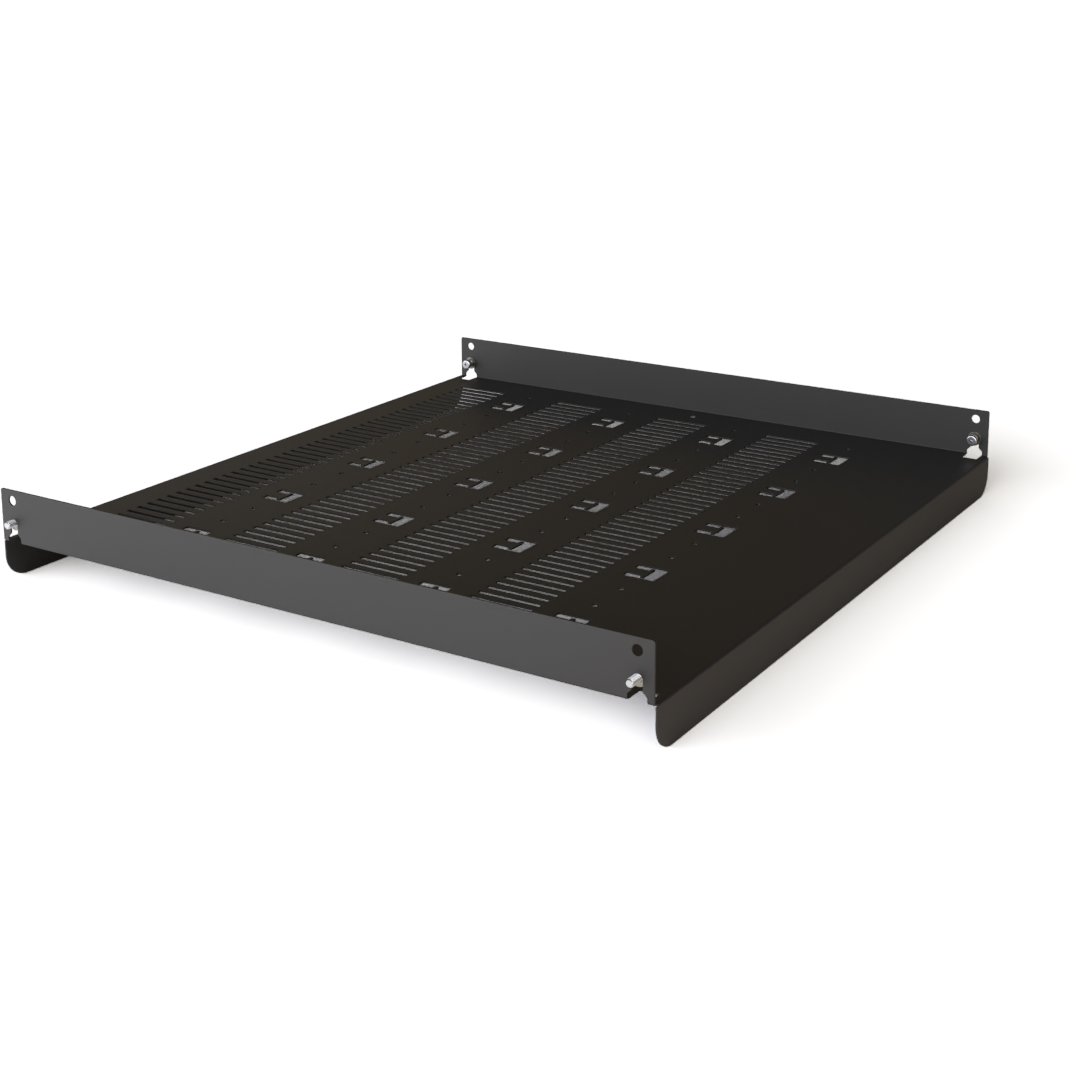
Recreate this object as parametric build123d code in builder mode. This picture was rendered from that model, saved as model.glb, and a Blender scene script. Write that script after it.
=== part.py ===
# Rack shelf: one punched and folded steel sheet that hangs on four screws, between the front and
# the rear rails of a rack. Millimetres, +Z up, X across the rack, the front faces -Y.
# The origin is in the middle of the footprint, on the lower edges of the side flanges.

import os
from build123d import *

# Sheet and its folds
sheet = 1.2
inner_bend = 0.5
outer_bend = inner_bend + sheet
corner_relief = 0.2  # a laser's slit between an end fold and a side fold

# Rail fixings
screw_diameter = 5
rail_hole_clearance = 1.5
rail_hole_diameter = screw_diameter + rail_hole_clearance
rail_hole_spacing = 465.1  # across the rack, the standard 19 inch rail
rail_hole_pitch = 15.875  # up the rail
rail_hole_edge = 10.25  # from a hole to the side of an end flange
keyhole_rise = 11.6  # from the deck to the round end of a keyhole
keyhole_mouth = 11.8
mouth_rise = 2.6  # height of the mouth's upright sides
shoulder_rise = 5.2  # height where the sloped shoulders meet the neck
notch_depth = 13  # how far a keyhole's mouth runs into the deck
flange_top_edge = 7.3  # from the top holes to the upper edge

# Overall sizes
end_flange_inset = sheet  # the end flanges end flush with the inner faces of the side flanges
shelf_width = rail_hole_spacing + 2 * (rail_hole_edge + end_flange_inset)
shelf_depth = 515.6
side_flange_height = 28.5
side_corner_radius = 16
end_corner_radius = 1.5
side_end_inset = 1  # the side flanges stop this far behind the faces of the end flanges

# Punched pattern of the deck
column_pitch = 97.4
row_pitch = 93.75
slots_per_row = 10
slot_width = 4
slot_length = 44.2
slot_side_margin = 4
slot_end_margin = 30
window_across = 21.6
window_along = 21
window_shift = -0.85  # from the middle between two columns of slots
tongue_length = 13.3
tongue_neck = 8.8
tongue_head = 2.8
tongue_head_across = 15
pin_hole_diameter = 4
pin_hole_sides = 8  # there are forty, so each is a prism with few faces
end_hole_diameter = 5.5
end_hole_inset = 17

# Screws and washers
screw_length = 14
head_overhang = 1.7
head_height = 3.4
head_bevel = 0.9
tip_chamfer = 0.6
recess_across = 4.6
recess_slot = 1.1
recess_depth = 1.8
screw_play = 0.05  # between a shank and the round end of its keyhole
washer_thickness = 1
washer_rim = 2.6
washer_play = 0.15
screw_reach = {"front_left": 5.9, "front_right": 8.2, "rear_left": 8.2, "rear_right": 8.2}

# Heights and places that follow
deck_top = side_flange_height
deck_under = deck_top - sheet
keyhole_z = deck_top + keyhole_rise
top_hole_z = keyhole_z + rail_hole_pitch
flange_top = top_hole_z + flange_top_edge
screw_z = keyhole_z + rail_hole_clearance / 2 - screw_play
half_width = shelf_width / 2
half_depth = shelf_depth / 2
fold_reach = outer_bend + corner_relief
side_fold_length = shelf_depth - 2 * fold_reach
side_flange_length = shelf_depth - 2 * side_end_inset
lower_corner_radius = min(side_corner_radius, side_flange_height - 2 * outer_bend)
slot_pitch = row_pitch / slots_per_row
columns_left = int((half_width - slot_side_margin - slot_length / 2) // column_pitch)
columns = 2 * columns_left  # the last column on the right is left plain
slots = 2 * int((half_depth - slot_end_margin) // slot_pitch)
rows = 1 + 2 * int((half_depth - slot_end_margin - window_along / 2) // row_pitch)
hole_places = [(-rail_hole_spacing / 2, 0), (rail_hole_spacing / 2, 0)]

os.makedirs("parts", exist_ok=True)

with BuildPart() as shelf_pan:
    # Deck and end flanges: one strip, folded up at the front and at the rear
    with BuildSketch(Plane.YZ):
        with BuildLine():
            FilletPolyline(
                (-half_depth, flange_top),
                (-half_depth, deck_under),
                (half_depth, deck_under),
                (half_depth, flange_top),
                radius=outer_bend,
            )
            offset(amount=sheet, side=Side.LEFT)
        make_face()
    extrude(amount=half_width - end_flange_inset, both=True)
    fillet(shelf_pan.edges().filter_by(Axis.Y).group_by(Axis.Z)[-1], end_corner_radius)

    # The deck is cut back at both sides, and the side flanges are folded down there. Below their
    # folds they run on, past the end folds
    with BuildSketch(Plane.XY.offset(deck_under)):
        with Locations((-half_width, 0), (half_width, 0)):
            Rectangle(2 * fold_reach, side_fold_length + 2 * corner_relief)
    extrude(amount=sheet, mode=Mode.SUBTRACT)
    with BuildSketch(Plane.XZ):
        with BuildLine():
            FilletPolyline(
                (half_width - 2 * fold_reach, deck_top),
                (half_width, deck_top),
                (half_width, deck_top - 2 * outer_bend),
                radius=outer_bend,
            )
            offset(amount=sheet, side=Side.RIGHT)
        make_face()
        mirror(about=Plane.YZ)
    extrude(amount=side_fold_length / 2, both=True)
    for inner_face in (half_width - sheet, -half_width):
        with BuildSketch(Plane.YZ.offset(inner_face)) as side_flange:
            Rectangle(side_flange_length, deck_top - outer_bend, align=(Align.CENTER, Align.MIN))
            fillet(side_flange.vertices().group_by(Axis.Y)[0], lower_corner_radius)
        extrude(amount=sheet)

    # Rail holes: round ones above, keyholes below that are open at the fold
    with BuildSketch(Plane.XZ.offset(-half_depth)):
        with Locations(*[(x, top_hole_z) for x, y in hole_places]):
            Circle(rail_hole_diameter / 2)
        with Locations(*[(x, keyhole_z) for x, y in hole_places]):
            Circle(rail_hole_diameter / 2)
        with Locations(*[(x, deck_top) for x, y in hole_places]):
            Polygon(
                (-keyhole_mouth / 2, 0),
                (keyhole_mouth / 2, 0),
                (keyhole_mouth / 2, mouth_rise),
                (rail_hole_diameter / 2, shoulder_rise),
                (rail_hole_diameter / 2, keyhole_rise),
                (-rail_hole_diameter / 2, keyhole_rise),
                (-rail_hole_diameter / 2, shoulder_rise),
                (-keyhole_mouth / 2, mouth_rise),
                align=None,
            )
    extrude(amount=shelf_depth, mode=Mode.SUBTRACT)
    with BuildSketch(Plane.XY.offset(deck_under)):
        with GridLocations(rail_hole_spacing, shelf_depth, 2, 2):
            Rectangle(keyhole_mouth, 2 * notch_depth)
    extrude(amount=sheet, mode=Mode.SUBTRACT)

    # Air slots in columns
    with BuildSketch(Plane.XY.offset(deck_under)):
        with Locations((-column_pitch / 2, 0)):
            with GridLocations(column_pitch, slot_pitch, columns, slots):
                Rectangle(slot_length, slot_width)
    extrude(amount=sheet, mode=Mode.SUBTRACT)

    # Windows for straps and ties, each with a T-shaped tongue, and pin holes between them
    with BuildSketch(Plane.XY.offset(deck_under)):
        with Locations((window_shift, 0)):
            with GridLocations(column_pitch, row_pitch, columns, rows):
                Rectangle(window_across, window_along)
                with Locations((-window_across / 2, 0)):
                    Rectangle(2 * (tongue_length - tongue_head), tongue_neck, mode=Mode.SUBTRACT)
                with Locations((tongue_length - (window_across + tongue_head) / 2, 0)):
                    Rectangle(tongue_head, tongue_head_across, mode=Mode.SUBTRACT)
        with GridLocations(column_pitch, row_pitch, columns, rows):
            with Locations((0, row_pitch / 3), (0, -row_pitch / 3)):
                RegularPolygon(pin_hole_diameter / 2, pin_hole_sides)
        with GridLocations(1, shelf_depth - 2 * end_hole_inset, 1, 2):
            Circle(end_hole_diameter / 2)
    extrude(amount=sheet, mode=Mode.SUBTRACT)

shelf_pan.part.label = "shelf_pan"
export_step(shelf_pan.part, "parts/shelf_pan.step")

# Each corner has a screw through its keyhole from inside, with a washer on the flange
for corner, reach in screw_reach.items():
    outward = -1 if corner.startswith("front") else 1
    side = -1 if corner.endswith("left") else 1
    on_axis = (side * rail_hole_spacing / 2, outward * (half_depth - sheet), screw_z)
    flange_face = Plane(origin=on_axis, x_dir=(1, 0, 0), z_dir=(0, outward, 0))
    under_head = flange_face.offset(reach + sheet - screw_length)

    with BuildPart() as washer:
        with BuildSketch(flange_face):
            Circle(screw_diameter / 2 + washer_play + washer_rim)
            Circle(screw_diameter / 2 + washer_play, mode=Mode.SUBTRACT)
        extrude(amount=-washer_thickness)

    with BuildPart() as screw:
        with BuildSketch(under_head):
            Circle(screw_diameter / 2 + head_overhang)
        extrude(amount=-head_height)
        crown = screw.edges().sort_by(Axis.Y)[0 if outward > 0 else -1]
        chamfer(crown, head_bevel)
        with BuildSketch(under_head.offset(-head_height)):
            Rectangle(recess_across, recess_slot)
            Rectangle(recess_slot, recess_across)
        extrude(amount=recess_depth, mode=Mode.SUBTRACT)
        with BuildSketch(under_head):
            Circle(screw_diameter / 2)
        extrude(amount=screw_length)
        tip = screw.edges().sort_by(Axis.Y)[-1 if outward > 0 else 0]
        chamfer(tip, tip_chamfer)

    washer.part.label = corner + "_washer"
    export_step(washer.part, "parts/" + corner + "_washer.step")
    screw.part.label = corner + "_screw"
    export_step(screw.part, "parts/" + corner + "_screw.step")
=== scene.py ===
import bpy
import math
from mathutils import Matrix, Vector


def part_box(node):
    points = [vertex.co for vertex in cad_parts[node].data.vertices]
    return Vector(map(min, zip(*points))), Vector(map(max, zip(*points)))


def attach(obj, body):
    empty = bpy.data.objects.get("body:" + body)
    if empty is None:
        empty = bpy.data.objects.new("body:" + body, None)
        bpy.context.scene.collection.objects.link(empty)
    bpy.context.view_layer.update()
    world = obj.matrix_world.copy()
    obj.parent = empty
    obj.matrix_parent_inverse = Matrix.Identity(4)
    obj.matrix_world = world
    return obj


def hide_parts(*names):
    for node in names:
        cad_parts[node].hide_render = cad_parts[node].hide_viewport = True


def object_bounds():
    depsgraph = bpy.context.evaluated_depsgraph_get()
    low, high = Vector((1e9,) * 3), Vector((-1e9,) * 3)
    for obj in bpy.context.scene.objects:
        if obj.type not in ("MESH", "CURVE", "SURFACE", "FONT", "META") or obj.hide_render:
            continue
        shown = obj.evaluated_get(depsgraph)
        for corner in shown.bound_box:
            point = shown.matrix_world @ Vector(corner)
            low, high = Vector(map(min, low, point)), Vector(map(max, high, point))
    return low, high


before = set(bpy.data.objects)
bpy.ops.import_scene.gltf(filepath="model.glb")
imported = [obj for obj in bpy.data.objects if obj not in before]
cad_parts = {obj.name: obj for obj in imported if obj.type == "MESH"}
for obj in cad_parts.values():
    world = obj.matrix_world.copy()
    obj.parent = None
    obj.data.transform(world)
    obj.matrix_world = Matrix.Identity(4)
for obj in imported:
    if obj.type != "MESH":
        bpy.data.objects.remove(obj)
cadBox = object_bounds()
mm = 0.001
tiny = 0.02 * mm


# Small helpers

def tone(hexColour):  # sRGB hex to linear light
    parts = [int(hexColour[i:i + 2], 16) / 255 for i in (1, 3, 5)]
    return [p / 12.92 if p <= 0.04045 else ((p + 0.055) / 1.055) ** 2.4 for p in parts] + [1]


def addNode(tree, kind, inputs, **settings):
    node = tree.nodes.new("ShaderNode" + kind)
    for name, value in settings.items():
        setattr(node, name, value)
    for name, value in inputs.items():
        if isinstance(value, bpy.types.NodeSocket):
            tree.links.new(value, node.inputs[name])
        else:
            node.inputs[name].default_value = value
    return node


def clearSelection():
    bpy.ops.object.select_all(action="DESELECT")


def editPick(piece, kind, wanted):  # goes to edit mode with only the wanted vertices, edges or faces
    bpy.ops.object.mode_set(mode="EDIT")
    bpy.ops.mesh.select_mode(type=kind)
    bpy.ops.mesh.select_all(action="DESELECT")
    bpy.ops.object.mode_set(mode="OBJECT")
    mesh = piece.data
    group = {"VERT": mesh.vertices, "EDGE": mesh.edges, "FACE": mesh.polygons}[kind]
    for part in group:
        places = [part.co] if kind == "VERT" else [mesh.vertices[i].co for i in part.vertices]
        part.select = wanted(places)
    bpy.ops.object.mode_set(mode="EDIT")


def allAt(axis, place):  # a test for editPick: every corner lies at that place along the axis
    return lambda corners: all(abs(c[axis] - place) < tiny for c in corners)


def middle(corners):
    return sum(corners, Vector()) / len(corners)


def newMaterial(name):
    material = bpy.data.materials.new(name)
    material.use_nodes = True
    material.node_tree.nodes.clear()
    return material, material.node_tree


def moveOut(x, y, z):  # draws the selected vertices, edges or faces out by a step in metres
    bpy.ops.mesh.extrude_region_move(TRANSFORM_OT_translate={"value": (x, y, z)})


def fold(centre, axis):  # turns the selected edge through a right angle, as a press brake folds a sheet
    bpy.ops.mesh.spin(steps=pan["bendSteps"], angle=math.radians(90), center=centre, axis=axis)


def makeCylinder(sides, radius, length, place, turn=(0, 0, 0)):  # sizes in millimetres
    clearSelection()
    place = [p * mm for p in place]
    bpy.ops.mesh.primitive_cylinder_add(
        vertices=sides, radius=radius * mm, depth=length * mm, location=place, rotation=turn,
    )
    piece = bpy.context.object
    applyPlace(piece)
    return piece


def applyPlace(piece):
    clearSelection()
    piece.select_set(True)
    bpy.context.view_layer.objects.active = piece
    bpy.ops.object.transform_apply(location=True, rotation=True, scale=True)


def useModifier(piece, kind, **settings):
    bpy.context.view_layer.objects.active = piece
    bpy.ops.object.modifier_add(type=kind)
    modifier = piece.modifiers[-1]
    for name, value in settings.items():
        setattr(modifier, name, value)
    bpy.ops.object.modifier_apply(modifier=modifier.name)


def joined(pieces):
    clearSelection()
    for piece in pieces:
        piece.select_set(True)
    bpy.context.view_layer.objects.active = pieces[0]
    bpy.ops.object.join()
    return bpy.context.object


def carve(piece, cutter):
    clearSelection()
    piece.select_set(True)
    useModifier(piece, "BOOLEAN", operation="DIFFERENCE", solver="EXACT", object=cutter)
    bpy.data.objects.remove(cutter)


# Camera, at the photograph's viewpoint

camera = {
    "place": (0.64566, -0.98409, 0.40968),
    "turn": 31.637,  # degrees to the left of straight on
    "tilt": -11.684,
    "roll": -0.078,
    "lens": 58.095,
    "shift": (-0.0355, -0.2206),
}


def makeCamera():
    rotation = (math.radians(90 + camera["tilt"]), 0, math.radians(camera["turn"]))
    bpy.ops.object.camera_add(location=camera["place"], rotation=rotation)
    eye = bpy.context.object
    eye.rotation_euler.rotate_axis("Z", math.radians(camera["roll"]))
    eye.data.sensor_width = 36
    eye.data.lens = camera["lens"]
    eye.data.shift_x, eye.data.shift_y = camera["shift"]
    bpy.context.scene.camera = eye
    bpy.context.scene.view_settings.view_transform = "Standard"


# Light: a soft studio. Wide screens stand low in front, brightest to the left, and the room is dim

lights = {
    "frontScreen": {"azimuth": 0, "height": 8, "core": 2, "edge": 36, "strength": 2.25, "colour": "#f7f8ff"},
    "leftScreen": {"azimuth": -45, "height": 8, "core": 2, "edge": 36, "strength": 1.95, "colour": "#f3f5ff"},
    "rightScreen": {"azimuth": 45, "height": 8, "core": 2, "edge": 36, "strength": 1.6, "colour": "#fff6e4"},
    "highScreen": {"azimuth": 0, "height": 32, "core": 2, "edge": 36, "strength": 0.75, "colour": "#ffffff"},
    "frontStrip": {"azimuth": 0, "height": 3, "core": 2, "edge": 22, "strength": 1.5, "colour": "#f2f3ff"},
    "leftStrip": {"azimuth": -45, "height": 3, "core": 2, "edge": 22, "strength": 1.4, "colour": "#f4f5ff"},
    "rightStrip": {"azimuth": 45, "height": 3, "core": 2, "edge": 22, "strength": 0.75, "colour": "#fff8ea"},
    "rearLeftLamp": {"azimuth": -130, "height": 12, "core": 2, "edge": 17, "strength": 0.8, "colour": "#fff0dc"},
    "rearLamp": {"azimuth": -150, "height": 12, "core": 2, "edge": 17, "strength": 0.26, "colour": "#ffd68a"},
    "backWall": {"azimuth": 150, "height": 42, "core": 10, "edge": 60, "strength": 0.16, "colour": "#ffffff"},
}
roomShade = "#161616"


def makeLight():
    world = bpy.data.worlds.new("softRoom")
    bpy.context.scene.world = world
    world.use_nodes = True
    tree = world.node_tree
    tree.nodes.clear()
    direction = addNode(tree, "TexCoord", {}).outputs["Generated"]
    total = tone(roomShade)[:3]
    for light in lights.values():
        azimuth, height = math.radians(light["azimuth"]), math.radians(light["height"])
        axis = (math.sin(azimuth) * math.cos(height), -math.cos(azimuth) * math.cos(height), math.sin(height))
        facing = addNode(tree, "VectorMath", {0: direction, 1: axis}, operation="DOT_PRODUCT")
        glow = addNode(tree, "MapRange", {
            "Value": facing.outputs["Value"],
            "From Min": math.cos(math.radians(light["edge"])),
            "From Max": math.cos(math.radians(light["core"])),
            "To Max": light["strength"],
        }, interpolation_type="SMOOTHSTEP")
        colour = tone(light["colour"])[:3]
        glow = addNode(tree, "VectorMath", {0: colour, "Scale": glow.outputs["Result"]}, operation="SCALE")
        total = addNode(tree, "VectorMath", {0: total, 1: glow.outputs["Vector"]}, operation="ADD").outputs["Vector"]
    room = addNode(tree, "Background", {"Color": total, "Strength": 1})
    white = addNode(tree, "Background", {"Color": (1, 1, 1, 1), "Strength": 1})
    seen = addNode(tree, "LightPath", {}).outputs["Is Camera Ray"]
    mixed = addNode(tree, "MixShader", {0: seen, 1: room.outputs[0], 2: white.outputs[0]})
    addNode(tree, "OutputWorld", {"Surface": mixed.outputs[0]})


floor = {
    "size": 90,  # metres
    "below": 0.1,  # millimetres under the shelf
    "colour": 0.9,
    "shownAs": 3.5,  # makes the open floor white to the eye
    # The floor's image in the coat and on metal is painted: a painted reflection brighter than white in front, and
    # painted shade that is warm and dim to the right and dim behind
    "paintedFrontReflection": 4.4,
    "paintedRightShade": 2.0,
    "paintedWarmShade": "#ffe9d0",
    "paintedShadeRight": (0.12, 0.34),  # metres
    "paintedShadeBack": (-0.3, 0.35),
    "backShade": 0.5,
    "reach": 120,  # how far the painted contact shadow round the shelf darkens that image, in millimetres
}


def makeFloor():
    clearSelection()
    bpy.ops.mesh.primitive_plane_add(size=floor["size"], location=(0, 0, cadBox[0].z - floor["below"] * mm))
    ground = bpy.context.object
    ground.name = "paleFloor"
    applyPlace(ground)
    material, tree = newMaterial("palePaper")
    path = addNode(tree, "LightPath", {})
    shown = addNode(tree, "MapRange", {
        "Value": path.outputs["Is Camera Ray"], "To Min": floor["colour"], "To Max": floor["shownAs"],
    })
    # Painted reflection and painted shade: for glossy and transmission rays the floor's colour is brighter than
    # white in front, warmer and dimmer to the right, and dimmer behind
    place = addNode(tree, "TexCoord", {}).outputs["Object"]
    place = addNode(tree, "SeparateXYZ", {"Vector": place})
    right = addNode(tree, "MapRange", {
        "Value": place.outputs["X"], "From Min": floor["paintedShadeRight"][0], "From Max": floor["paintedShadeRight"][1],
    }, interpolation_type="SMOOTHSTEP")
    back = addNode(tree, "MapRange", {
        "Value": place.outputs["Y"], "From Min": floor["paintedShadeBack"][0], "From Max": floor["paintedShadeBack"][1],
        "To Min": 1, "To Max": floor["backShade"],
    })
    paintedFrontReflectionColour = [floor["paintedFrontReflection"]] * 3 + [1]
    paintedWarmShade = [floor["paintedRightShade"] * part for part in tone(floor["paintedWarmShade"])[:3]] + [1]
    image = addNode(tree, "Mix", {
        "Factor": right.outputs["Result"], "A": paintedFrontReflectionColour, "B": paintedWarmShade,
    }, data_type="RGBA")
    # Painted contact shadow: ambient occlusion darkens the floor's image near the shelf
    paintedContactShade = addNode(tree, "AmbientOcclusion", {"Distance": floor["reach"] * mm}, samples=8).outputs["AO"]
    shade = addNode(tree, "Math", {0: paintedContactShade, 1: back.outputs["Result"]}, operation="MULTIPLY")
    shaded = addNode(tree, "VectorMath", {0: image.outputs[2], "Scale": shade.outputs[0]}, operation="SCALE")
    mirrored = addNode(tree, "Math", {
        0: path.outputs["Is Glossy Ray"], 1: path.outputs["Is Transmission Ray"],
    }, operation="MAXIMUM")
    colour = addNode(tree, "Mix", {
        "Factor": mirrored.outputs[0], "A": shown.outputs["Result"], "B": shaded.outputs["Vector"],
    }, data_type="RGBA")
    paper = addNode(tree, "BsdfDiffuse", {"Color": colour.outputs[2]})
    addNode(tree, "OutputMaterial", {"Surface": paper.outputs[0]})
    ground.data.materials.append(material)


# Finishes

noiseBand = {"From Min": 0.3, "From Max": 0.7}  # where most values of a noise lie

powder = {
    "colour": "#1b1917",
    "deepColour": "#171513",
    "cloud": 70,
    "grain": 0.45,
    "ripple": 2.6,
    "relief": 0.012,
    "reliefStrength": 0.6,
    "roughness": (0.52, 0.58),
    "ior": 1.65,
}


def makePowderCoat():  # black polyester powder coat, sprayed and baked: satin, with a fine orange peel
    material, tree = newMaterial("blackPowderCoat")
    place = addNode(tree, "TexCoord", {}).outputs["Object"]
    scale = {name: 1 / (powder[name] * mm) for name in ("grain", "ripple", "cloud")}
    grain = addNode(tree, "TexNoise", {"Vector": place, "Scale": scale["grain"], "Detail": 2.0, "Roughness": 0.55})
    ripple = addNode(tree, "TexNoise", {"Vector": place, "Scale": scale["ripple"], "Detail": 1.0})
    cloud = addNode(tree, "TexNoise", {"Vector": place, "Scale": scale["cloud"], "Detail": 2.0})
    colour = addNode(tree, "Mix", {
        "Factor": cloud.outputs["Fac"], "A": tone(powder["deepColour"]), "B": tone(powder["colour"]),
    }, data_type="RGBA")
    smooth, rough = powder["roughness"]
    gloss = addNode(tree, "MapRange", {
        "Value": grain.outputs["Fac"], "To Min": smooth, "To Max": rough, **noiseBand,
    })
    peel = addNode(tree, "Math", {
        0: ripple.outputs["Fac"], 1: 2.0, 2: grain.outputs["Fac"],
    }, operation="MULTIPLY_ADD")
    bump = addNode(tree, "Bump", {
        "Height": peel.outputs[0], "Distance": powder["relief"] * mm, "Strength": powder["reliefStrength"],
    })
    coat = addNode(tree, "BsdfPrincipled", {
        "Base Color": colour.outputs[2], "Roughness": gloss.outputs["Result"], "Normal": bump.outputs[0],
        "IOR": powder["ior"],
    })
    addNode(tree, "OutputMaterial", {"Surface": coat.outputs[0]})
    return material


zinc = {
    "brightZincPlate": {"colour": "#c8cacc", "roughness": (0.10, 0.19)},
    "dullZincPlate": {"colour": "#8f8e86", "roughness": (0.26, 0.35)},
    "crystals": 0.35,
    "relief": 0.004,
    "reliefStrength": 0.5,
}


def makeZincPlate(name):  # barrel plated on cold-formed steel: a mirror softened by fine crystals
    material, tree = newMaterial(name)
    place = addNode(tree, "TexCoord", {}).outputs["Object"]
    crystals = addNode(tree, "TexNoise", {"Vector": place, "Scale": 1 / (zinc["crystals"] * mm), "Detail": 3.0})
    smooth, rough = zinc[name]["roughness"]
    gloss = addNode(tree, "MapRange", {
        "Value": crystals.outputs["Fac"], "To Min": smooth, "To Max": rough, **noiseBand,
    })
    bump = addNode(tree, "Bump", {
        "Height": crystals.outputs["Fac"], "Distance": zinc["relief"] * mm, "Strength": zinc["reliefStrength"],
    })
    plate = addNode(tree, "BsdfPrincipled", {
        "Base Color": tone(zinc[name]["colour"]), "Metallic": 1.0, "Roughness": gloss.outputs["Result"],
        "Normal": bump.outputs[0],
    })
    addNode(tree, "OutputMaterial", {"Surface": plate.outputs[0]})
    return material


# Shelf pan: the sheet is laid out flat, punched, folded and then given its thickness

pan = {
    "sheet": 1.2,
    "innerBend": 0.5,
    "cornerRelief": 0.2,
    "deckHeight": 28.5,
    "endFlangeInset": 1.2,
    "sideEndInset": 1,
    "bendSteps": 8,
    "sideCornerRadius": 16,
    "endCornerRadius": 1.5,
    "columnPitch": 97.4,
    "rowPitch": 93.75,
    "slotsPerRow": 10,
    "slots": 48,
    "slotWidth": 4,
    "slotLength": 44.2,
    "columns": 4,
    "rows": 5,
    "windowAcross": 21.6,
    "windowAlong": 21,
    "windowShift": -0.85,
    "tongueLength": 13.3,
    "tongueNeck": 8.8,
    "tongueHead": 2.8,
    "tongueHeadAcross": 15,
    "pinHole": 4,
    "endHole": 5.5,
    "endHoleInset": 17,
    "railHole": 6.5,
    "railHoleSpacing": 465.1,
    "railHolePitch": 15.875,
    "keyholeRise": 11.6,
    "keyholeMouth": 11.8,
    "mouthRise": 2.6,
    "shoulderRise": 5.2,
    "notchDepth": 13,
    "edgeRound": 0.16,  # the powder rounds each punched edge
    "edgeSteps": 2,
    "cornerSteps": 10,
    "holeSides": 28,
    "keyholeSides": 32,
    "spare": 6,  # how far a punch stands out beyond the sheet
    "deckPunch": 8,
    "merge": 0.03,
}


def spread(count, pitch):  # places of a centred row
    return [(i - (count - 1) / 2) * pitch for i in range(count)]


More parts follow.
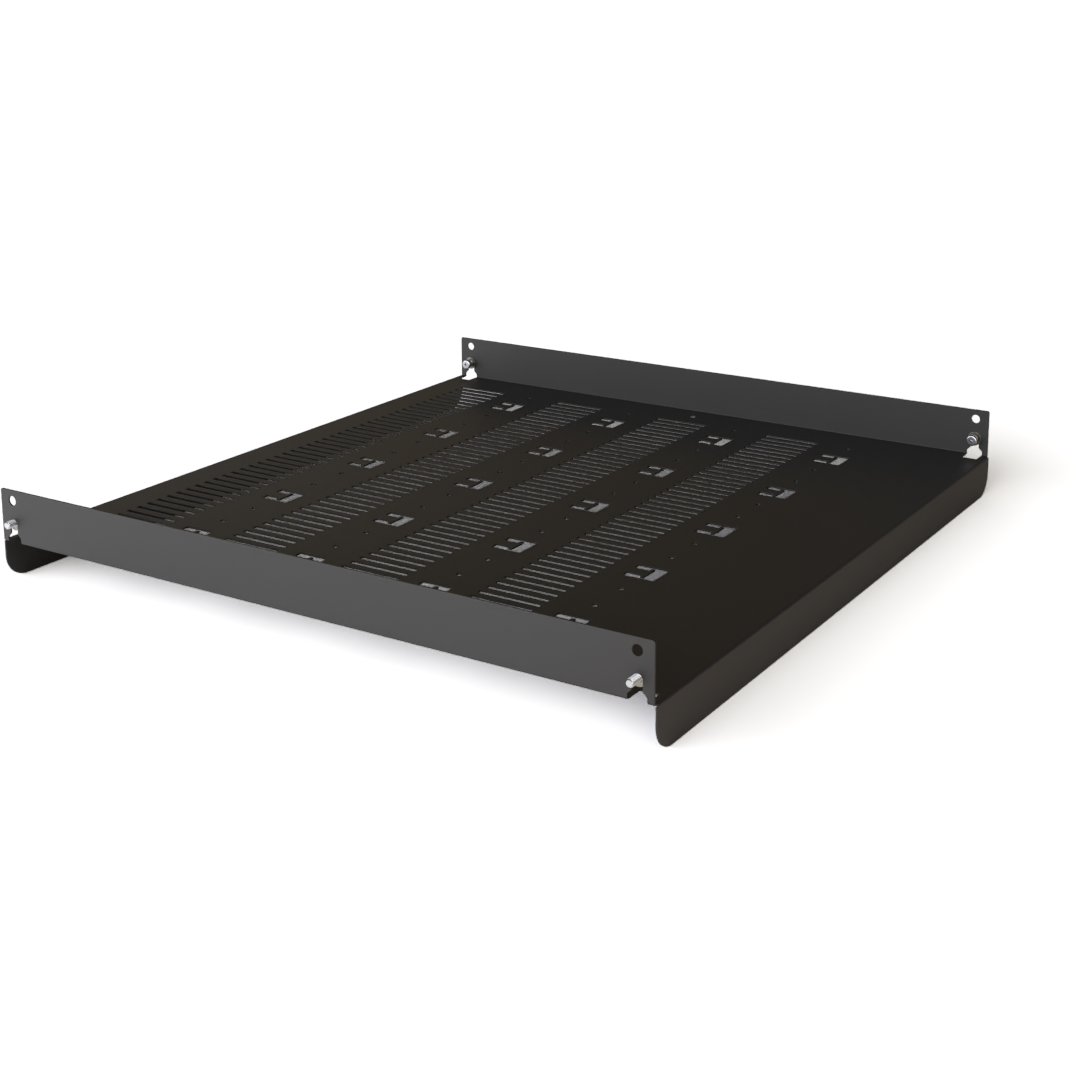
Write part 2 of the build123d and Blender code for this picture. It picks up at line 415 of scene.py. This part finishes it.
def foldedSheet():  # the top, inner and outer faces of the sheet, folded, without thickness
    low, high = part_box("shelf_pan")
    sheet, bend = pan["sheet"] * mm, pan["innerBend"] * mm
    outerBend, relief = sheet + bend, pan["cornerRelief"] * mm
    deck = low.z + pan["deckHeight"] * mm
    endFold = high.y - outerBend  # where the end folds start
    sideFold = high.x - outerBend
    sideEnd = endFold - relief
    slitStart = sideFold - relief
    sideReach = high.y - pan["sideEndInset"] * mm
    endHalf = high.x - pan["endFlangeInset"] * mm

    slotColumns = [c - pan["columnPitch"] / 2 for c in spread(pan["columns"], pan["columnPitch"])]
    windowColumns = [c + pan["windowShift"] for c in spread(pan["columns"], pan["columnPitch"])]
    slotPitch = pan["rowPitch"] / pan["slotsPerRow"]
    slotRows, windowRows = spread(pan["slots"], slotPitch), spread(pan["rows"], pan["rowPitch"])
    across, along = pan["windowAcross"] / 2, pan["windowAlong"] / 2
    neckEnd = pan["tongueLength"] - pan["tongueHead"] - across
    headEnd = pan["tongueLength"] - across
    neck, head = pan["tongueNeck"] / 2, pan["tongueHeadAcross"] / 2

    crossLines = [c + s * pan["slotLength"] / 2 for c in slotColumns for s in (-1, 1)]
    crossLines += [c + edge for c in windowColumns for edge in (-across, neckEnd, headEnd, across)]
    crossLines += [s * edge / mm for s in (-1, 1) for edge in (sideFold, slitStart)]
    longLines = [r + s * pan["slotWidth"] / 2 for r in slotRows for s in (-1, 1)]
    longLines += [r + s * edge for r in windowRows for s in (-1, 1) for edge in (neck, head, along)]
    longLines += [s * sideEnd / mm for s in (-1, 1)]

    clearSelection()
    bpy.ops.mesh.primitive_plane_add(size=2, location=(0, 0, deck))
    piece = bpy.context.object
    piece.name = "foldedPan"
    piece.scale = (endHalf, endFold, 1)
    applyPlace(piece)
    bpy.ops.object.mode_set(mode="EDIT")
    for places, normal in ((crossLines, (1, 0, 0)), (longLines, (0, 1, 0))):
        for place in places:
            bpy.ops.mesh.select_all(action="SELECT")
            bpy.ops.mesh.bisect(plane_co=Vector(normal) * place * mm, plane_no=normal)

    # End flanges: folded up, then drawn up to their height
    for end in (-1, 1):
        editPick(piece, "EDGE", allAt(1, end * endFold))
        fold((0, end * endFold, deck + bend), (-end, 0, 0))
        moveOut(0, 0, high.z - deck - bend)

    # Waste is punched out: slots, windows round their tongues, the strips beside the side folds
    def isWaste(corners):
        at = middle(corners)
        if abs(at.y) > endFold or abs(at.z - deck) > tiny:
            return False
        if abs(at.x) > sideFold or (abs(at.x) > slitStart and abs(at.y) > sideEnd):
            return True
        x, y = at.x / mm, at.y / mm
        if any(abs(x - c) < pan["slotLength"] / 2 for c in slotColumns):
            return any(abs(y - r) < pan["slotWidth"] / 2 for r in slotRows)
        for c in windowColumns:
            for r in windowRows:
                if abs(x - c) < across and abs(y - r) < along:
                    onNeck = x - c < neckEnd and abs(y - r) < neck
                    onHead = neckEnd < x - c < headEnd and abs(y - r) < head
                    return not (onNeck or onHead)
        return False

    editPick(piece, "FACE", isWaste)
    bpy.ops.mesh.delete(type="FACE")

    # The lines of the side folds aren't needed on the end flanges
    def isSpare(corners):
        besideFold = all(slitStart - tiny < abs(c.x) < sideFold + tiny for c in corners)
        onFlange = all(abs(c.y) > endFold - tiny for c in corners)
        return besideFold and onFlange and abs(corners[0].x - corners[1].x) < tiny

    editPick(piece, "EDGE", isSpare)
    bpy.ops.mesh.dissolve_edges(use_verts=True)

    # Side flanges: folded down
    for side in (-1, 1):
        editPick(piece, "EDGE", allAt(0, side * sideFold))
        fold((side * sideFold, 0, deck - outerBend), (0, -side, 0))
        moveOut(0, 0, low.z - deck + outerBend)
    for end in (-1, 1):  # below their folds the side flanges run on, past the end folds
        def isUpright(corners):  # the end of a side flange, from its fold down
            return allAt(1, end * sideEnd)(corners) and abs(corners[0].z - corners[1].z) > outerBend

        editPick(piece, "EDGE", isUpright)
        moveOut(0, end * (sideReach - sideEnd), 0)
        editPick(piece, "EDGE", isUpright)
        bpy.ops.mesh.dissolve_edges(use_verts=True)

    for radius, isCorner in (
        (pan["sideCornerRadius"], lambda c: c[0].z < low.z + tiny and abs(abs(c[0].y) - sideReach) < tiny),
        (pan["endCornerRadius"], lambda c: c[0].z > high.z - tiny and abs(abs(c[0].x) - endHalf) < tiny),
    ):
        editPick(piece, "VERT", isCorner)
        bpy.ops.mesh.bevel(offset=radius * mm, segments=pan["cornerSteps"], affect="VERTICES", clamp_overlap=False)
    bpy.ops.mesh.select_all(action="SELECT")
    bpy.ops.mesh.normals_make_consistent(inside=False)
    bpy.ops.object.mode_set(mode="OBJECT")
    deckFaces = [f for f in piece.data.polygons if abs(f.center.z - deck) < tiny and abs(f.center.y) < endFold]
    if deckFaces[0].normal.z < 0:
        bpy.ops.object.mode_set(mode="EDIT")
        bpy.ops.mesh.flip_normals()
        bpy.ops.object.mode_set(mode="OBJECT")
    return piece


def roundPunch(diameter, place, length, along):  # along is "Y" through the flanges, "Z" through the deck
    turn = (math.radians(90), 0, 0) if along == "Y" else (0, 0, 0)
    return makeCylinder(pan["holeSides"], diameter / 2, length, place, turn)


def keyholePunch(side, end):  # the outline of a keyhole, down through the fold, drawn out over the deck's notch
    low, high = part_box("shelf_pan")
    deck = low.z / mm + pan["deckHeight"]
    radius, mouth = pan["railHole"] / 2, pan["keyholeMouth"] / 2
    x, top = side * pan["railHoleSpacing"] / 2, deck + pan["keyholeRise"]
    start = end * (high.y / mm - pan["notchDepth"])
    clearSelection()
    centre = (x * mm, start * mm, top * mm)
    bpy.ops.mesh.primitive_circle_add(
        vertices=pan["keyholeSides"], radius=radius * mm, location=centre, rotation=(math.radians(90), 0, 0),
    )
    piece = bpy.context.object
    applyPlace(piece)
    editPick(piece, "VERT", lambda c: c[0].z < top * mm - tiny)
    bpy.ops.mesh.delete(type="VERT")
    editPick(piece, "VERT", lambda c: abs(c[0].z - top * mm) < tiny)
    for drop, wider in (
        (pan["keyholeRise"] - pan["shoulderRise"], 1),
        (pan["shoulderRise"] - pan["mouthRise"], mouth / radius),
        (pan["mouthRise"] + 4 * pan["sheet"], 1),
    ):
        moveOut(0, 0, -drop * mm)
        bpy.ops.transform.resize(value=(wider, 1, 1), center_override=centre)
    bpy.ops.mesh.select_all(action="SELECT")
    bpy.ops.mesh.edge_face_add()
    moveOut(0, end * (pan["notchDepth"] + pan["spare"]) * mm, 0)
    bpy.ops.mesh.select_all(action="SELECT")
    bpy.ops.mesh.normals_make_consistent(inside=False)
    bpy.ops.object.mode_set(mode="OBJECT")
    return piece


def makePan(coat):
    low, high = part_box("shelf_pan")
    piece = foldedSheet()
    useModifier(
        piece, "SOLIDIFY", thickness=pan["sheet"] * mm, offset=-1, use_even_offset=True, use_quality_normals=True,
    )
    deck = low.z / mm + pan["deckHeight"]
    topHole = deck + pan["keyholeRise"] + pan["railHolePitch"]
    throughBoth = 2 * (high.y / mm + pan["spare"])
    punches = []
    for side in (-1, 1):
        place = (side * pan["railHoleSpacing"] / 2, 0, topHole)
        punches.append(roundPunch(pan["railHole"], place, throughBoth, "Y"))
        punches += [keyholePunch(side, end) for end in (-1, 1)]
    for end in (-1, 1):
        place = (0, end * (high.y / mm - pan["endHoleInset"]), deck)
        punches.append(roundPunch(pan["endHole"], place, pan["deckPunch"], "Z"))
    for column in spread(pan["columns"], pan["columnPitch"]):
        for row in spread(pan["rows"], pan["rowPitch"]):
            for offset in (-1, 1):
                place = (column, row + offset * pan["rowPitch"] / 3, deck)
                punches.append(roundPunch(pan["pinHole"], place, pan["deckPunch"], "Z"))
    carve(piece, joined(punches))
    bpy.ops.object.mode_set(mode="EDIT")
    bpy.ops.mesh.select_all(action="SELECT")
    bpy.ops.mesh.remove_doubles(threshold=pan["merge"] * mm)
    bpy.ops.object.mode_set(mode="OBJECT")
    bpy.ops.object.shade_smooth()
    useModifier(
        piece, "BEVEL", width=pan["edgeRound"] * mm, segments=pan["edgeSteps"],
        limit_method="ANGLE", angle_limit=math.radians(40), use_clamp_overlap=False,
    )
    useModifier(piece, "WEIGHTED_NORMAL", mode="FACE_AREA", weight=80, keep_sharp=False)
    piece.data.materials.clear()
    piece.data.materials.append(coat)
    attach(piece, "root")
    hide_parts("shelf_pan")
    return piece


# Fasteners: a cross-recessed pan head screw and a flat washer at each corner

screw = {
    "length": 14,
    "diameter": 5,
    "pitch": 0.8,
    "threadDepth": 0.24,
    "threadForm": (0.18, 0.36, 0.18, 0.28),  # rise, crest, fall and root as shares of the pitch
    "turnSteps": 28,
    "sides": 48,
    "inHead": 0.3,  # how far the shank runs into the head
    "overlength": 0.37,  # cut off again with the tip's chamfer
    "tipChamfer": 0.6,
    "wide": 6,  # the radius of what the tip is cut with
    "headRound": 1.1,
    "headRoundSteps": 6,
    "headEdge": 0.15,
    "recessAcross": 4.6,
    "recessSlot": 1.1,
    "recessDepth": 1.8,
    "recessTaper": 0.5,
    "smoothAngle": 32,
    "merge": 0.005,
    "fineCut": 0.001,
}


def threadedShank():  # from inside the head to past the tip, by turning one thread's outline
    radius, pitch, depth = screw["diameter"] / 2, screw["pitch"], screw["threadDepth"]
    rise, crest, fall, root = screw["threadForm"]
    turns = math.ceil(screw["length"] / pitch) + 3
    clearSelection()
    bpy.ops.mesh.primitive_plane_add(size=mm, location=(0, 0, 0))
    piece = bpy.context.object
    bpy.ops.object.mode_set(mode="EDIT")
    bpy.ops.mesh.select_all(action="SELECT")
    bpy.ops.mesh.merge(type="CENTER")
    bpy.ops.mesh.select_mode(type="VERT")
    bpy.ops.transform.translate(value=((radius - depth) * mm, 0, -2 * pitch * mm))
    for out, up in ((depth, rise), (0, crest), (-depth, fall), (0, root)):
        moveOut(out * mm, 0, up * pitch * mm)
    bpy.ops.object.mode_set(mode="OBJECT")
    useModifier(
        piece, "SCREW", angle=math.radians(360), screw_offset=pitch * mm, iterations=turns,
        steps=screw["turnSteps"], render_steps=screw["turnSteps"], use_merge_vertices=False,
    )
    bpy.ops.object.mode_set(mode="EDIT")
    bpy.ops.mesh.select_all(action="SELECT")
    bpy.ops.mesh.remove_doubles(threshold=screw["merge"] * mm)
    for height, facing in ((-screw["inHead"], -1), (screw["length"] + screw["overlength"], 1)):
        bpy.ops.mesh.select_all(action="SELECT")
        bpy.ops.mesh.bisect(
            plane_co=(0, 0, height * mm), plane_no=(0, 0, facing), clear_outer=True, use_fill=True,
            threshold=screw["fineCut"] * mm,
        )
    bpy.ops.mesh.select_all(action="SELECT")
    bpy.ops.mesh.normals_make_consistent(inside=False)
    bpy.ops.object.mode_set(mode="OBJECT")
    return piece


def cutTip(shank):  # at its length, with the chamfer that a lathe leaves
    wide, tip = screw["wide"], screw["diameter"] / 2 - screw["tipChamfer"]
    slope = wide - tip
    clearSelection()
    bpy.ops.mesh.primitive_cone_add(
        vertices=screw["sides"], radius1=wide * mm, radius2=tip * mm, depth=slope * mm,
        location=(0, 0, (screw["length"] - slope / 2) * mm),
    )
    cone = bpy.context.object
    applyPlace(cone)
    body = makeCylinder(screw["sides"], wide, 2 * wide, (0, 0, screw["length"] - slope - wide))
    useModifier(body, "BOOLEAN", operation="UNION", solver="EXACT", object=cone)
    bpy.data.objects.remove(cone)
    useModifier(shank, "BOOLEAN", operation="INTERSECT", solver="EXACT", object=body)
    bpy.data.objects.remove(body)


def makeScrewPattern(node):  # along +Z, the underside of the head at the origin
    low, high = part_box(node)
    headRadius, whole = (high.x - low.x) / 2 / mm, (high.y - low.y) / mm
    headHeight = whole - screw["length"]
    shank = threadedShank()
    cutTip(shank)
    head = makeCylinder(screw["sides"], headRadius, headHeight, (0, 0, -headHeight / 2))
    editPick(head, "EDGE", allAt(2, -headHeight * mm))
    bpy.ops.mesh.bevel(offset=screw["headRound"] * mm, segments=screw["headRoundSteps"], affect="EDGES")
    editPick(head, "EDGE", allAt(2, 0))
    bpy.ops.mesh.bevel(offset=screw["headEdge"] * mm, segments=2, affect="EDGES")
    bpy.ops.object.mode_set(mode="OBJECT")
    for turn in (0, 90):  # each blade of the driver's cross narrows towards its point
        clearSelection()
        bpy.ops.mesh.primitive_cube_add(size=1, location=(0, 0, -headHeight * mm))
        blade = bpy.context.object
        blade.scale = (screw["recessAcross"] * mm, screw["recessSlot"] * mm, 2 * screw["recessDepth"] * mm)
        blade.rotation_euler.z = math.radians(turn)
        applyPlace(blade)
        editPick(blade, "FACE", lambda c: middle(c).z > (screw["recessDepth"] - headHeight) * mm - tiny)
        bpy.ops.transform.resize(value=(screw["recessTaper"], screw["recessTaper"], 1), center_override=(0, 0, 0))
        bpy.ops.object.mode_set(mode="OBJECT")
        carve(head, blade)
    useModifier(head, "BOOLEAN", operation="UNION", solver="EXACT", object=shank)
    bpy.data.objects.remove(shank)
    clearSelection()
    head.select_set(True)
    bpy.context.view_layer.objects.active = head
    bpy.ops.object.shade_smooth_by_angle(angle=math.radians(screw["smoothAngle"]))
    return head


washer = {"rim": 2.6, "edgeRound": 0.12, "edgeSteps": 3, "turnSteps": 64, "merge": 0.005}


def makeWasherPattern(node):  # along Z, centred
    low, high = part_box(node)
    outer, thick = (high.x - low.x) / 2, high.y - low.y
    inner = outer - washer["rim"] * mm
    clearSelection()
    ring = ((inner + outer) / 2, 0, 0)
    bpy.ops.mesh.primitive_plane_add(size=1, rotation=(math.radians(90), 0, 0), location=ring)
    piece = bpy.context.object
    piece.scale = (outer - inner, thick, 1)
    applyPlace(piece)
    bpy.ops.object.mode_set(mode="EDIT")
    bpy.ops.mesh.select_all(action="SELECT")
    bpy.ops.mesh.bevel(offset=washer["edgeRound"] * mm, segments=washer["edgeSteps"], affect="VERTICES")
    bpy.ops.mesh.select_all(action="SELECT")
    bpy.ops.mesh.delete(type="ONLY_FACE")  # the outline alone is turned
    bpy.ops.mesh.select_all(action="SELECT")
    bpy.ops.mesh.spin(steps=washer["turnSteps"], angle=math.radians(360), center=(0, 0, 0), axis=(0, 0, 1))
    bpy.ops.mesh.select_all(action="SELECT")
    bpy.ops.mesh.remove_doubles(threshold=washer["merge"] * mm)
    bpy.ops.mesh.select_all(action="SELECT")
    bpy.ops.mesh.normals_make_consistent(inside=False)
    bpy.ops.object.mode_set(mode="OBJECT")
    return piece


def placeCopy(pattern, node, shift, material):  # a copy with its own mesh, turned to its corner
    low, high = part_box(node)
    outward = -1 if node.startswith("front") else 1
    centre = (low + high) / 2
    clearSelection()
    pattern.select_set(True)
    bpy.context.view_layer.objects.active = pattern
    bpy.ops.object.duplicate(linked=False)
    piece = bpy.context.object
    piece.name = node + "_fine"
    piece.rotation_euler = (math.radians(-90 * outward), 0, 0)
    piece.location = (centre.x, centre.y + outward * shift, centre.z)
    applyPlace(piece)
    piece.data.materials.clear()
    piece.data.materials.append(material)
    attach(piece, "root")
    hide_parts(node)
    return piece


def makeFasteners(screwPlate, washerPlate):
    corners = ("front_left", "front_right", "rear_left", "rear_right")
    pattern = makeScrewPattern("front_left_screw")
    low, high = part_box("front_left_screw")
    shift = (high.y - low.y) / 2 - screw["length"] * mm
    for corner in corners:
        piece = placeCopy(pattern, corner + "_screw", shift, screwPlate)
    bpy.data.objects.remove(pattern)
    pattern = makeWasherPattern("front_left_washer")
    for corner in corners:
        piece = placeCopy(pattern, corner + "_washer", 0, washerPlate)
    bpy.data.objects.remove(pattern)


makeCamera()
makeLight()
makeFloor()
print("room, floor and camera stand")
shelf = makePan(makePowderCoat())
print("pan folded:", len(shelf.data.polygons), "faces")
makeFasteners(makeZincPlate("brightZincPlate"), makeZincPlate("dullZincPlate"))
print("screws and washers are in")
clearSelection()
